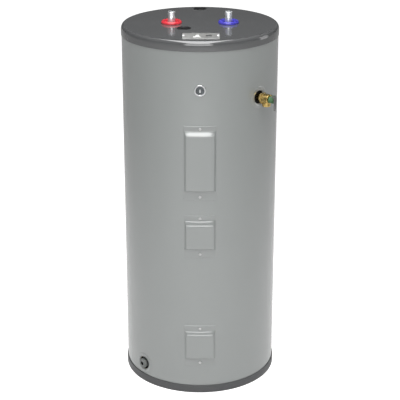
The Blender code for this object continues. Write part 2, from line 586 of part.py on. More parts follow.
def make_relief_valve():
    """Temperature and pressure relief valve: brass body, green bonnet, sprung stem, lever and probe."""
    axis = stand("relief_valve_axis", RELIEF_ANGLE, RELIEF_HEIGHT)
    dam = sleeve(bmesh.new(), 0.0143, RELIEF_HOLE - 0.0005, *DAM)
    place("relief_valve_dam", dam, "black_foam", axis)
    place("relief_valve_collar", saddle_ring(bmesh.new(), 0.0252, 0.0390, GAP, 0.0014), "jacket_paint", axis)

    body = place("relief_valve_body", rod(bmesh.new(), 0.0175, 0.3000, 0.3300), "brass", axis)
    trim(body, "UNION", rod(bmesh.new(), PIPE_RADIUS, 0.2205, 0.3010))
    trim(body, "UNION", hexagon(bmesh.new(), 0.0355, 0.2926, 0.3022))
    down = Matrix.Translation((0, 0, OUTLET_OUT)) @ Matrix.Rotation(radians(90), 4, "X")
    trim(body, "UNION", rod(bmesh.new(), 0.0163, 0, OUTLET_DROP, PIPE_SIDES, down))
    trim(body, "DIFFERENCE", rod(bmesh.new(), 0.0065, 0.21, 0.31, 16))
    trim(body, "DIFFERENCE", rod(bmesh.new(), 0.0110, 0.3035, 0.34, 20))
    trim(body, "DIFFERENCE", rod(bmesh.new(), 0.0095, 0, 0.05, 20, down))

    bonnet_low, bonnet_high = 0.3303, 0.3470
    shape = [(0.0112, bonnet_low), (0.0124, bonnet_low + 0.001), (0.0124, 0.3345), (0.0112, 0.3360),
             (0.0112, bonnet_high - 0.001), (0.0102, bonnet_high), (0.0026, bonnet_high), (0.0026, 0.3450),
             (0.0090, 0.3450), (0.0090, bonnet_low)]
    bonnet = place("relief_valve_bonnet", turned(bmesh.new(), shape, PIPE_SIDES), "green_plastic", axis)
    trim(bonnet, "UNION", block(bmesh.new(), (-0.003, 0.003), (0.0098, 0.0165), (0.3395, 0.3458)))
    pivot_y, pivot_z = LEVER_PIVOT
    crosswise = Matrix.Rotation(radians(90), 4, "Y")
    at_pivot = Matrix.Translation((0, pivot_y, pivot_z))
    trim(bonnet, "DIFFERENCE", rod(bmesh.new(), 0.0018, -0.01, 0.01, SMALL_SIDES, at_pivot @ crosswise))
    pin = rod(bmesh.new(), 0.0015, -0.0078, 0.0078, SMALL_SIDES, crosswise)
    place("relief_lever_pin", pin, "steel", axis, at_pivot)

    stem = [(0, 0.3038), (0.0085, 0.3038), (0.0085, 0.3060), (0.0020, 0.3062), (0.0020, 0.3490), (0, 0.3492)]
    place("relief_valve_stem", turned(bmesh.new(), stem, 16), "brass", axis)
    turns, steps, coil = 4, 8, 0.0060
    helix = [(coil * cos(tau * i / steps), coil * sin(tau * i / steps), 0.3075 + 0.0325 * i / (turns * steps))
             for i in range(turns * steps + 1)]
    place("relief_valve_spring", tube(bmesh.new(), helix, 0.0008, 4), "steel", axis)
    probe = [(0, 0.110), (0.0035, 0.111), (0.0045, 0.114), (0.0045, 0.2180), (0.0035, 0.2190),
             (0.0035, 0.3020), (0, 0.3030)]
    place("relief_valve_probe", turned(bmesh.new(), probe, SMALL_SIDES), "copper", axis)

    strip = bmesh.new()
    block(strip, (-0.0067, 0.0067), (-0.060, 0.003), (0.0088, 0.0102))
    lever = place("relief_valve_lever", strip, "steel", axis, at_pivot)
    for side in (-1, 1):
        cheek = sorted((side * 0.0050, side * 0.0067))
        trim(lever, "UNION", block(bmesh.new(), cheek, (-0.0024, 0.0024), (-0.0026, 0.0095)))
    trim(lever, "DIFFERENCE", rod(bmesh.new(), 0.0018, -0.01, 0.01, SMALL_SIDES, crosswise))


def make_drain_valve():
    """Drain valve: the knob round the spout draws the hollow stem off its seat."""
    axis = stand("drain_valve_axis", DRAIN_ANGLE, DRAIN_HEIGHT)
    dam = sleeve(bmesh.new(), 0.0175, DRAIN_HOLE - 0.0005, *DAM)
    place("drain_valve_dam", dam, "black_foam", axis)
    place("drain_valve_collar", saddle_ring(bmesh.new(), 0.0262, 0.0400, GAP, 0.0014), "jacket_paint", axis)
    body = [(0.0110, 0.2205), (PIPE_RADIUS, 0.2205), (PIPE_RADIUS, 0.2600), (0.0168, 0.2600),
            (0.0168, 0.2765), (0.0110, 0.2765)]
    place("drain_valve_body", turned(bmesh.new(), body, PIPE_SIDES), "grey_plastic", axis)
    stem = [(0.0080, 0.2380), (0.0106, 0.2380), (0.0106, 0.2790), (0.0133, 0.2800), (0.0133, 0.2905),
            (0.0125, 0.2912), (0.0080, 0.2912)]
    place("drain_valve_stem", turned(bmesh.new(), stem, PIPE_SIDES), "grey_plastic", axis)
    place("drain_valve_knob", sleeve(bmesh.new(), 0.0136, 0.0195, 0.2808, 0.2896), "grey_plastic", axis)


def main():
    for old in list(bpy.data.objects):
        bpy.data.objects.remove(old)
    make_jacket()
    make_top_cap()
    make_base_pan()
    make_badge()
    make_tank()
    make_foam()
    make_dip_tube()
    make_anode_rod()
    for side, name, look in ((-1, "hot", "red_plastic"), (1, "cold", "blue_plastic")):
        make_nipple(f"{name}_water_nipple", side * NIPPLE_SPACING / 2)
        make_ring(f"{name}_nipple_ring", side * NIPPLE_SPACING / 2, look)
    make_plug("anode_access_plug", ANODE_PLACE)
    make_plug("foam_port_plug", FILL_PLACE)
    make_wiring_box()
    make_wiring_cover()
    for side, x in zip(("left", "right"), COVER_SCREW_X):
        make_screw(f"{side}_cover_screw", upright(x, COVER_SCREW_Y), CAP_TOP + GAP + COVER_WALL)
    make_screw("ground_screw", upright(*GROUND_PLACE), BOX_FLOOR + BOX_WALL, "green_plastic")
    for name, panel in PANELS.items():
        make_panel(name, panel)
        make_pad(name, panel)
        make_element(name, panel)
        make_thermostat(name, panel)
        for end, height in zip(("bottom", "top"), panel["screws"]):
            make_screw(f"{name}_panel_{end}_screw", radial_frame(0, height), JACKET_RADIUS + GAP + PANEL_WALL)
    make_high_limit()
    make_wiring()
    make_relief_valve()
    make_drain_valve()


main()
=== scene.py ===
import json
from math import cos, pi, radians, sin, sqrt, tan, tau

import bmesh
import bpy
from mathutils import Matrix, Vector, noise


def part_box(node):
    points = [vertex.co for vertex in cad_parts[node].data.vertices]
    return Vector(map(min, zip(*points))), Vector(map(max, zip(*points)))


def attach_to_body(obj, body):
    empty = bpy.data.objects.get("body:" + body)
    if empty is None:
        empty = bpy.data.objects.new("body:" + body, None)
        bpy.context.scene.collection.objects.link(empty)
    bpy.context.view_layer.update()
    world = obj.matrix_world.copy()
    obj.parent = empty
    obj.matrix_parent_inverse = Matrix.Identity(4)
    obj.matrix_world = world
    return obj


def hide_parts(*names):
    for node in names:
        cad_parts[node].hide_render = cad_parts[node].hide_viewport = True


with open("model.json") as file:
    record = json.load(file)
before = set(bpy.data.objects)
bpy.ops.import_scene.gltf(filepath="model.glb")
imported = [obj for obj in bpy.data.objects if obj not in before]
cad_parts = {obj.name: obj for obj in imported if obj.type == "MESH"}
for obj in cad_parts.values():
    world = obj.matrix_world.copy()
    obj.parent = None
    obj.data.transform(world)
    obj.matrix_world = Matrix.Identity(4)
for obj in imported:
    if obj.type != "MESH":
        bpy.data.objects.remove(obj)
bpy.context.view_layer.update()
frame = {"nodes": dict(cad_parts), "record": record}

BODY_OF = {node: body for body, nodes in frame["record"]["behaviour"]["bodies"].items() for node in nodes}


def middle_of(node):
    low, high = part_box(node)
    return (low + high) / 2


# ---- sizes ----
CAP_LOW, CAP_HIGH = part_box("top_cap")
CAP_RADIUS = CAP_HIGH.x
CAP_TOP = CAP_HIGH.z
CAP_SHOULDER = 0.017  # height of the cap's rounded edge
CAP_FLAT_RADIUS = CAP_RADIUS - 0.0107
SHEET = 0.0012  # wall of the cap and the base pan
JACKET_LOW, JACKET_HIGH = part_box("jacket")
JACKET_RADIUS = JACKET_HIGH.x
JACKET_WALL = 0.0008
PAN_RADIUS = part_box("base_pan")[1].x
PAN_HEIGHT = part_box("base_pan")[1].z
PAN_TUCK = 0.0032  # the ring is this much inside the CAD one, as close as in the photo
PIPE_RADIUS = 0.01335  # outside of a 3/4 inch pipe
PORT = 0.2205  # distance from the tank's axis at which the valve bodies begin
NIPPLE_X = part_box("cold_water_nipple")[1].x - PIPE_RADIUS
RING_SLEEVE = 0.0231  # radii of the red and blue rings; the sleeve is in the cap's hole
RING_FLANGE = 0.0368
RING_BORE = 0.0214
RING_FOOT = 1.326  # height of the sleeve's lower end
KNOCKOUT = (0.030, -0.203)  # middle of the hole in the wiring cover
RELIEF_ANGLE = 47.3  # degrees from the front, to the right
RELIEF_HEIGHT = 1.117
DRAIN_ANGLE = -48.7
DRAIN_HEIGHT = 0.074
DAM = (0.2620, 0.2798)  # inner and outer ends of the foam dams round the valves
PORT_HOLE = 0.0235  # radii of holes
SCREW_HOLE = 0.0022
RELIEF_HOLE = 0.024
DRAIN_HOLE = 0.025
SCREW_HEIGHT = 0.0034  # of a screw's head over its seat
SHELL_SIDES = 256
GAP = 0.0003  # between pieces that touch


# ---- mesh tools ----
# A tool that makes a solid returns its bmesh: a new one, or the one given as `into`. `at` places the solid.
def started(into):
    return bmesh.new() if into is None else into


def radial(angle, height):
    """Local Z points out from the tank axis at this angle, local Y up and local X sideways."""
    turn = radians(angle)
    out = Vector((sin(turn), -cos(turn), 0))
    up = Vector((0, 0, 1))
    made = Matrix((up.cross(out), up, out)).transposed().to_4x4()
    made.translation = (0, 0, height)
    return made


def upright(x, y, z=0.0):
    return Matrix.Translation((x, y, z))


def over(node):
    """The upright frame in the middle of a node, at floor height."""
    spot = middle_of(node)
    return upright(spot.x, spot.y)


def spin(degrees, axis):
    return Matrix.Rotation(radians(degrees), 4, axis)


def rounded(corners, steps=4):
    """Closed outline whose corners (a, b, fillet) are turned into arcs; corners (a, b) stay sharp."""
    points = []
    for i, corner in enumerate(corners):
        here = Vector(corner[:2])
        if len(corner) < 3:
            points.append(tuple(here))
            continue
        before = Vector(corners[i - 1][:2]) - here
        after = Vector(corners[(i + 1) % len(corners)][:2]) - here
        angle = before.angle(after)
        reach = min(corner[2] / tan(angle / 2), before.length * 0.49, after.length * 0.49)
        radius = reach * tan(angle / 2)
        start, end = here + before.normalized() * reach, here + after.normalized() * reach
        centre = here + (before.normalized() + after.normalized()).normalized() * radius / sin(angle / 2)
        first, last = start - centre, end - centre
        swing = first.angle_signed(last)
        for k in range(steps + 1):
            a = -swing * k / steps
            spun = Vector((first.x * cos(a) - first.y * sin(a), first.x * sin(a) + first.y * cos(a)))
            points.append(tuple(centre + spun))
    return points


def bridge(bm, rings):
    """Faces between each ring of points and the next one. A ring may be a single point."""
    for ring, after in zip(rings, rings[1:]):
        if len(ring) == 1 and len(after) == 1:
            continue
        sides = max(len(ring), len(after))
        for i in range(sides):
            j = (i + 1) % sides
            corners = [ring[i % len(ring)], ring[j % len(ring)], after[j % len(after)], after[i % len(after)]]
            bm.faces.new(list(dict.fromkeys(corners)))
    return bm


def turned(outline, sides=48, at=None, scallop=None, into=None):
    """Revolve a closed (radius, height) outline round local Z. scallop gives the radius at each turn."""
    bm, at = started(into), at or Matrix()
    rings = []
    for radius, height in outline:
        if radius < 1e-7:
            rings.append([bm.verts.new(at @ Vector((0, 0, height)))])
            continue
        ring = []
        for i in range(sides):
            turn = tau * i / sides
            spread = scallop(turn, radius, height) if scallop else radius
            ring.append(bm.verts.new(at @ Vector((spread * cos(turn), spread * sin(turn), height))))
        rings.append(ring)
    return bridge(bm, rings + rings[:1])


def rod(radius, low, high, sides=48, at=None, edge=0.0, into=None):
    outline = [(0, low), (radius, low), (radius, high), (0, high)]
    if edge:
        outline = rounded([(0, low), (radius, low, edge), (radius, high, edge), (0, high)], 3)
    return turned(outline, sides, at, into=into)


def threaded(radius, depth, pitch, bore, low, high, thread, sides=40, at=None):
    """A pipe with a helical thread cut between the two heights of `thread`, and a plain wall elsewhere."""
    bm, at = bmesh.new(), at or Matrix()
    chamfer = depth * 1.2
    steps = max(2, round((thread[1] - thread[0]) / pitch * 7))
    rows = [thread[0] + (thread[1] - thread[0]) * i / steps for i in range(steps + 1)]
    rows += [low, low + chamfer, high - chamfer, high]
    rows = sorted(set(round(z, 7) for z in rows))
    rings = []
    for z in rows:
        ring = []
        for i in range(sides):
            turn = tau * i / sides
            phase = (z / pitch - i / sides) % 1
            cut = depth * (1 - abs(2 * phase - 1)) if thread[0] <= z <= thread[1] else 0.0
            end = depth * 1.1 if z in (rows[0], rows[-1]) else 0.0
            spread = radius - max(cut, end)
            ring.append(bm.verts.new(at @ Vector((spread * cos(turn), spread * sin(turn), z))))
        rings.append(ring)
    for z in (rows[-1], rows[0]):
        turns = [tau * i / sides for i in range(sides)]
        rings.append([bm.verts.new(at @ Vector((bore * cos(t), bore * sin(t), z))) for t in turns])
    return bridge(bm, rings + rings[:1])


def hexagon(across, low, high, at=None, edge=0.0006):
    """Hexagonal bar with chamfered corners at both ends."""
    corner = across / sqrt(3)
    outline = [(0, low), (corner - edge * 1.6, low), (corner, low + edge), (corner, high - edge),
               (corner - edge * 1.6, high), (0, high)]
    return turned(outline, 6, at)


def block(x, y, z, at=None, edge=0.0, into=None):
    """A box between the given (low, high) pairs, with its edges rounded."""
    bm = started(into)
    size = Matrix.Diagonal((x[1] - x[0], y[1] - y[0], z[1] - z[0], 1))
    middle = Matrix.Translation(((x[0] + x[1]) / 2, (y[0] + y[1]) / 2, (z[0] + z[1]) / 2))
    made = bmesh.ops.create_cube(bm, size=1, matrix=(at or Matrix()) @ middle @ size)
    if edge:
        edges = list({e for v in made["verts"] for e in v.link_edges})
        bmesh.ops.bevel(bm, geom=edges, offset=edge, segments=2, profile=0.5, affect="EDGES")
    return bm


def around(middle, half):
    """The (low, high) pair that reaches the same distance to both sides."""
    return middle - half, middle + half


def tube(path, radius, sides=12, into=None):
    """A round bar along a path, with flat ends."""
    bm = started(into)
    path = [Vector(p) for p in path]
    ways = [(b - a).normalized() for a, b in zip(path, path[1:])]
    side = ways[0].orthogonal().normalized()
    turns = [tau * k / sides for k in range(sides)]
    rings = []
    for i, point in enumerate(path):
        way = (ways[max(i - 1, 0)] + ways[min(i, len(ways) - 1)]).normalized()
        side = (side - way * side.dot(way)).normalized()
        across = way.cross(side)
        rings.append([bm.verts.new(point + (side * cos(t) + across * sin(t)) * radius) for t in turns])
    bridge(bm, rings)
    bm.faces.new(rings[0])
    bm.faces.new(rings[-1])
    return bm


def plate(outline, low, high, at=None, edge=0.0003):
    """A flat plate with the given (x, y) outline, its upper and lower edges slightly rounded."""
    bm = bmesh.new()
    base = bm.faces.new([bm.verts.new((x, y, low)) for x, y in outline])
    lift = bmesh.ops.extrude_face_region(bm, geom=[base])
    tops = [v for v in lift["geom"] if isinstance(v, bmesh.types.BMVert)]
    bmesh.ops.translate(bm, verts=tops, vec=(0, 0, high - low))
    flat = [e for e in bm.edges if abs(e.verts[0].co.z - e.verts[1].co.z) < 1e-9]
    if edge:
        bmesh.ops.bevel(bm, geom=flat, offset=edge, segments=2, profile=0.5, affect="EDGES")
    bm.transform(at or Matrix())
    return bm


def smooth(path, steps=8):
    """Catmull-Rom curve through the points."""
    points = [Vector(p) for p in path]
    ends = [points[0] * 2 - points[1]] + points + [points[-1] * 2 - points[-2]]
    curve = []
    for a, b, c, d in zip(ends, ends[1:], ends[2:], ends[3:]):
        for k in range(steps):
            t = k / steps
            curve.append(0.5 * (2 * b + (c - a) * t + (2 * a - 5 * b + 4 * c - d) * t ** 2
                                + (3 * b - a - 3 * c + d) * t ** 3))
    return curve + [points[-1]]


def carve(thing, operation, bm):
    """Boolean the bmesh with the object and keep the result as its mesh."""
    tool = shape("cutter", bm)
    step = thing.modifiers.new("carve", "BOOLEAN")
    step.operation = operation
    step.solver = "EXACT"
    step.object = tool
    graph = bpy.context.evaluated_depsgraph_get()
    result = bpy.data.meshes.new_from_object(thing.evaluated_get(graph), depsgraph=graph)
    thing.modifiers.clear()
    old, thing.data = thing.data, result
    mesh = tool.data
    bpy.data.objects.remove(tool)
    bpy.data.meshes.remove(mesh)
    bpy.data.meshes.remove(old)


def cut(thing, bm):
    carve(thing, "DIFFERENCE", bm)


def weld(thing, bm):
    carve(thing, "UNION", bm)


def attach(thing, bm):
    """Put the bmesh into the object's mesh, beside what is there."""
    bm.from_mesh(thing.data)
    bm.to_mesh(thing.data)
    bm.free()


def shape(name, bm):
    """A bmesh as an object, not yet part of the heater."""
    bmesh.ops.recalc_face_normals(bm, faces=bm.faces)
    mesh = bpy.data.meshes.new(name)
    bm.to_mesh(mesh)
    bm.free()
    thing = bpy.data.objects.new(name, mesh)
    bpy.context.collection.objects.link(thing)
    return thing


def finish(thing, look_name, body, stands_for=(), sharp=32):
    """Shade it, give it its material and hang it on its CAD body."""
    mesh = thing.data
    mesh.materials.clear()
    mesh.materials.append(LOOKS[look_name])
    mesh.shade_smooth()
    mesh.set_sharp_from_angle(angle=radians(sharp))
    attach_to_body(thing, body)
    if stands_for:
        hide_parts(*stands_for)
    return thing


def stand_in(node, made, look_name, sharp=32):
    """A detailed piece, given as a bmesh or an object, that replaces the CAD node of the same name."""
    thing = made if isinstance(made, bpy.types.Object) else shape(node + "_detail", made)
    return finish(thing, look_name, BODY_OF[node], [node], sharp)


def small_part(name, bm, look_name, body="heater", sharp=32):
    """A piece that the CAD model doesn't have."""
    return finish(shape(name, bm), look_name, body, sharp=sharp)


# ---- materials ----
LOOKS = {}


def fill(node, values):
    """Set the node's inputs by name."""
    for name, value in values.items():
        node.inputs[name].default_value = value
    return node


def add(tree, kind, values=None):
    """A new shader node with the given inputs."""
    return fill(tree.nodes.new("ShaderNode" + kind), values or {})


def look(name, colour, roughness, metallic=0.0, patch=60.0, tint=0.10, grain=1500, depth=0.00003,
         stretch=(1, 1, 1), wear=0.0, worn=(0.5, 0.5, 0.5), dust=0.0, coat=0.0, coat_roughness=0.1,
         coat_ior=1.5, ior=1.5, specular=0.5, sheen=0.0, rough_swing=0.06):
    """Principled material: mottled colour, uneven roughness, a fine bump, and edges worn to another colour.

    patch and grain are noise scales, tint is how far the colour varies, and depth is the bump in metres.
    """
    made = bpy.data.materials.new("look_" + name)
    made.use_nodes = True
    tree = made.node_tree
    links = tree.links
    shader = tree.nodes["Principled BSDF"]
    fill(shader, {"Metallic": metallic, "Coat Weight": coat, "Coat Roughness": coat_roughness, "IOR": ior,
                  "Coat IOR": coat_ior, "Specular IOR Level": specular, "Sheen Weight": sheen})
    place = add(tree, "TexCoord")
    mapped = add(tree, "Mapping", {"Scale": stretch})
    links.new(place.outputs["Object"], mapped.inputs["Vector"])

    def noise_at(scale, detail):
        made_noise = add(tree, "TexNoise", {"Scale": scale, "Detail": detail})
        links.new(mapped.outputs["Vector"], made_noise.inputs["Vector"])
        return made_noise.outputs["Fac"]

    def spread(source, low, high, start=0.25, end=0.75):
        ranged = add(tree, "MapRange", {"From Min": start, "From Max": end, "To Min": low, "To Max": high})
        links.new(source, ranged.inputs["Value"])
        return ranged.outputs["Result"]

    def blend(amount, first, second, kind="MIX"):
        mixed = add(tree, "Mix")
        mixed.data_type = "RGBA"
        mixed.blend_type = kind
        links.new(amount, mixed.inputs["Factor"])
        for socket, value in ((mixed.inputs[6], first), (mixed.inputs[7], second)):
            if isinstance(value, tuple):
                socket.default_value = (*value, 1)
            else:
                links.new(value, socket)
        return mixed.outputs[2]

    mottle = noise_at(patch, 4)
    fine = noise_at(grain, 2)
    dark = tuple(c * (1 - tint) for c in colour)
    light = tuple(min(1.0, c * (1 + tint)) for c in colour)
    shade = blend(spread(mottle, 0, 1), dark, light)
    if dust:
        pale = tuple(c * 0.6 + 0.32 for c in colour)
        speck = noise_at(grain * 0.35, 6)
        shade = blend(spread(speck, 0, dust, 0.55, 0.8), shade, pale)
    if wear:
        geometry = add(tree, "NewGeometry")
        edge = spread(geometry.outputs["Pointiness"], 0, 1, 0.51, 0.60)
        scuff = spread(noise_at(patch * 14, 5), 0, wear, 0.42, 0.66)
        rubbed = add(tree, "Math")
        rubbed.operation = "MULTIPLY"
        links.new(edge, rubbed.inputs[0])
        links.new(scuff, rubbed.inputs[1])
        shade = blend(rubbed.outputs["Value"], shade, worn)
    links.new(shade, shader.inputs["Base Color"])
    low, high = max(0.02, roughness - rough_swing), min(1.0, roughness + rough_swing)
    links.new(spread(noise_at(patch * 5, 5), low, high), shader.inputs["Roughness"])
    bump = add(tree, "Bump", {"Strength": 0.5, "Distance": depth})
    links.new(fine, bump.inputs["Height"])
    links.new(bump.outputs["Normal"], shader.inputs["Normal"])
    made.diffuse_color = (*colour, 1)
    LOOKS[name] = made
    return made


GREY = (0.236, 0.251, 0.245)
PAINT = dict(patch=3.0, tint=0.015, grain=700, specular=0.3, rough_swing=0.03, coat=1.0, coat_roughness=0.11,
             coat_ior=1.95)  # its strong clear coat lets the sloping edges of the hatches mirror the lamps
look("jacket", GREY, 0.45, **PAINT)
look("panel", GREY, 0.42, wear=0.25, worn=(0.42, 0.43, 0.43), **PAINT)
look("cap", (0.084, 0.086, 0.088), 0.10, patch=4.0, tint=0.03, grain=650, depth=0.00002, wear=0.2,
     worn=(0.2, 0.2, 0.2), rough_swing=0.02, ior=1.85)
look("pan", (0.088, 0.090, 0.092), 0.40, patch=6.0, tint=0.04, grain=650, wear=0.3, worn=(0.18, 0.18, 0.18),
     dust=0.08, specular=0.3)
look("zinc", (0.66, 0.68, 0.69), 0.34, 0.85, patch=38.0, tint=0.12, wear=0.4, worn=(0.85, 0.85, 0.85))
look("zinc_pipe", (0.78, 0.80, 0.82), 0.30, 0.75, stretch=(1, 1, 0.3))
look("cover_zinc", (0.40, 0.40, 0.39), 0.42, 0.6, patch=30.0, grain=1200, stretch=(0.15, 1, 1), wear=0.5,
     worn=(0.8, 0.8, 0.8))
look("bright_screw", (0.90, 0.90, 0.90), 0.36, 0.35, patch=90.0, tint=0.05, grain=2500, depth=0.00002)
look("screw", (0.47, 0.47, 0.47), 0.32, 0.9, patch=90.0, tint=0.08, grain=2500, depth=0.00002, wear=0.5,
     worn=(0.9, 0.9, 0.9))
look("green_screw", (0.06, 0.28, 0.10), 0.35, 0.5, patch=90.0, grain=2500, depth=0.00004, wear=0.5,
     worn=(0.5, 0.5, 0.45))
look("brass", (0.56, 0.40, 0.14), 0.24, 1.0, patch=45.0, tint=0.14, grain=1300, wear=0.4,
     worn=(0.85, 0.68, 0.36), rough_swing=0.1)
look("steel", (0.36, 0.36, 0.35), 0.36, 0.8, wear=0.6, worn=(0.7, 0.7, 0.7))
look("lever", (0.16, 0.16, 0.155), 0.42, 0.55, tint=0.12, depth=0.00004, wear=0.7, worn=(0.5, 0.5, 0.5))
look("copper", (0.72, 0.38, 0.22), 0.32, 0.95, patch=30.0, tint=0.14)
look("magnesium", (0.52, 0.52, 0.50), 0.62, 0.6, patch=30.0, tint=0.15, grain=700, depth=0.0001)
look("enamel", (0.045, 0.065, 0.13), 0.28, patch=25.0, tint=0.2, grain=500, depth=0.00006, dust=0.3)
look("foam", (0.80, 0.66, 0.36), 0.92, patch=35.0, tint=0.12, grain=260, depth=0.0009, specular=0.2)
# Near-black foam colour of the dams. It is also used for the disc of painted shade in the drain outlet's
# bore.
look("dam", (0.006, 0.006, 0.006), 0.95, patch=50.0, tint=0.3, grain=500, depth=0.0006, specular=0.1)
look("black", (0.018, 0.018, 0.019), 0.42, patch=50.0, tint=0.15, grain=1800, depth=0.00004, wear=0.3,
     worn=(0.08, 0.08, 0.08))
look("plug", (0.009, 0.009, 0.010), 0.55, patch=50.0, tint=0.15, depth=0.00005, specular=0.3)
look("grey_plastic", (0.19, 0.20, 0.195), 0.48, patch=40.0, grain=1300, depth=0.00005, wear=0.2,
     worn=(0.35, 0.35, 0.35), specular=0.3)
look("white_plastic", (0.80, 0.80, 0.77), 0.38, tint=0.04, grain=1300)
look("green_plastic", (0.050, 0.130, 0.055), 0.44, depth=0.00005, wear=0.4, worn=(0.25, 0.42, 0.25))
look("red_plastic", (0.60, 0.035, 0.05), 0.24, patch=40.0, tint=0.06, grain=900, wear=0.2,
     worn=(0.8, 0.35, 0.33))
look("blue_plastic", (0.055, 0.05, 0.42), 0.24, patch=40.0, tint=0.06, grain=900, wear=0.2,
     worn=(0.35, 0.33, 0.75))
look("badge_ring", (0.72, 0.73, 0.74), 0.18, 1.0, patch=70.0, tint=0.05, grain=2500, depth=0.00001)
look("badge_centre", (0.10, 0.11, 0.115), 0.30, 0.4, patch=70.0, grain=2500, depth=0.00002)
look("insulation", (0.74, 0.70, 0.56), 0.97, tint=0.16, grain=420, depth=0.0012, specular=0.1, sheen=0.3)
look("wire_black", (0.022, 0.022, 0.022), 0.42, patch=80.0, tint=0.15, depth=0.00004)
look("wire_red", (0.50, 0.03, 0.03), 0.42, patch=80.0, depth=0.00004)
look("label", (0.82, 0.82, 0.80), 0.45, patch=80.0, tint=0.04, grain=900)


# ---- casing ----
def make_cap():
    inset = 0.004  # of the flat top's last ring
    rim = CAP_TOP - CAP_SHOULDER
    step_in = CAP_RADIUS - CAP_FLAT_RADIUS
    turns = [radians(90 * k / 14) for k in range(15)]
    outer = [(CAP_FLAT_RADIUS + step_in * sin(a), rim + CAP_SHOULDER * cos(a)) for a in turns]
    inner = [(CAP_FLAT_RADIUS + (step_in - SHEET) * sin(a), rim + (CAP_SHOULDER - SHEET) * cos(a))
             for a in reversed(turns)]
    half = SHEET / 2
    hem = [(CAP_RADIUS - half + half * cos(radians(a)), CAP_LOW.z + half - half * sin(radians(a)))
           for a in range(0, 181, 30)]
    outline = [(0, CAP_TOP), (CAP_FLAT_RADIUS - inset, CAP_TOP)] + outer + hem + inner
    outline += [(CAP_FLAT_RADIUS - inset, CAP_TOP - SHEET), (0, CAP_TOP - SHEET)]
    cap = shape("top_cap_detail", turned(outline, SHELL_SIDES))
    holes = bmesh.new()
    through = around(CAP_TOP, 0.01)
    for node in ("hot_nipple_ring", "cold_nipple_ring", "anode_access_plug", "foam_port_plug"):
        rod(PORT_HOLE, *through, 64, over(node), into=holes)
    low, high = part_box("junction_box")
    wall = 0.002
    block((low.x + wall, high.x - wall), (low.y + wall, high.y - wall), through, into=holes)
    for node in ("left_cover_screw", "right_cover_screw"):
        rod(SCREW_HOLE, *through, 24, over(node), into=holes)
    cut(cap, holes)
    stand_in("top_cap", cap, "cap", 25)


def make_jacket():
    low, high = JACKET_LOW.z, JACKET_HIGH.z
    inner = JACKET_RADIUS - JACKET_WALL
    wall = [(JACKET_RADIUS, low), (JACKET_RADIUS, high), (inner, high), (inner, low)]
    jacket = shape("jacket_detail", turned(wall, SHELL_SIDES))
    holes = bmesh.new()
    half_width, margin = 0.043, 0.001
    for panel in PANELS.values():
        face_low, face_high = panel["face"]
        block((-half_width, half_width), (-0.30, -0.25), (face_low + margin, face_high - margin), into=holes)
        for height in panel["screws"]:
            rod(SCREW_HOLE, 0.27, 0.29, 24, radial(0, height), into=holes)
    rod(RELIEF_HOLE, 0.25, 0.31, 64, radial(RELIEF_ANGLE, RELIEF_HEIGHT), into=holes)
    rod(DRAIN_HOLE, 0.25, 0.31, 64, radial(DRAIN_ANGLE, DRAIN_HEIGHT), into=holes)
    cut(jacket, holes)
    stand_in("jacket", jacket, "jacket", 30)


def make_jacket_seam():
    """Folded lock seam where the rolled jacket sheet closes at the back."""
    half, lift, sunk = 0.0055, 0.0011, 0.0004
    profile = [(-half, 0.0), (-half + 0.0012, lift * 0.8), (-half + 0.003, lift), (half - 0.0025, lift),
               (half - 0.0008, lift * 0.75), (half, 0.0), (half, -sunk), (-half, -sunk)]
    bm = bmesh.new()
    lower, upper = ([bm.verts.new((x, JACKET_RADIUS + h, z)) for x, h in profile]
                    for z in (PAN_HEIGHT + 2 * GAP, CAP_LOW.z - 2 * GAP))
    bridge(bm, [lower, upper])
    bm.faces.new(lower)
    bm.faces.new(upper)
    small_part("jacket_back_seam", bm, "jacket", sharp=50)


def make_pan():
    lip = JACKET_RADIUS + 0.0007
    outer = PAN_RADIUS - PAN_TUCK
    inner = outer - SHEET
    outline = rounded([(0, 0), (outer, 0, 0.002), (outer, PAN_HEIGHT, 0.0017), (lip, PAN_HEIGHT, 0.0002),
                       (lip, PAN_HEIGHT - SHEET, 0.0003), (inner, PAN_HEIGHT - 0.0035, 0.0015),
                       (inner, SHEET, 0.001), (0, SHEET)], 5)
    stand_in("base_pan", turned(outline, SHELL_SIDES), "pan", 25)


def make_badge():
    """A plain metal ring with a dished centre and a raised drop."""
    at = radial(0, middle_of("badge").z)
    back = JACKET_RADIUS + GAP
    inner, outer, thick, dip = 0.0150, 0.0200, 0.0020, 0.0009
    ring = rounded([(inner, back), (outer, back), (outer, back + thick, 0.0011),
                    (inner, back + thick, 0.0009)], 6)
    stand_in("badge", turned(ring, 96, at), "badge_ring", 40)
    dish = [(0, back + 0.0010), (0.0090, back + dip), (inner - 0.00005, back + 0.0006),
            (inner - 0.00005, back), (0, back)]
    small_part("badge_centre", turned(dish, 96, at), "badge_centre")
    turns = [tau * k / 40 for k in range(40)]
    drop = [(0.0042 * sin(t) * sin(t / 2) ** 1.4, 0.0072 * cos(t)) for t in turns]
    emblem = plate(drop, back + dip, back + 0.0016, at, 0.0)
    small_part("badge_drop_emblem", emblem, "badge_ring")


# ---- pipe connections ----
def make_nipple(node, x):
    depth, pitch, bore = 0.0011, 0.00181, 0.0104
    low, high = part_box(node)
    thread = (high.z - 0.022, high.z - 0.0015)
    bm = threaded(PIPE_RADIUS, depth, pitch, bore, low.z, high.z, thread, at=upright(x, 0))
    stand_in(node, bm, "zinc_pipe", 60)


def make_nipple_ring(node, x, look_name):
    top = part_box(node)[1].z
    seat = top - 0.0095
    outline = rounded([(RING_SLEEVE, RING_FOOT), (RING_SLEEVE, seat), (RING_FLANGE, seat, 0.0004),
                       (RING_FLANGE, seat + 0.0045, 0.003), (0.0330, top, 0.004), (0.0268, top, 0.004),
                       (RING_BORE, seat + 0.0030, 0.002), (RING_BORE, RING_FOOT)], 6)
    stand_in(node, turned(outline, 96, upright(x, 0)), look_name, sharp=30)


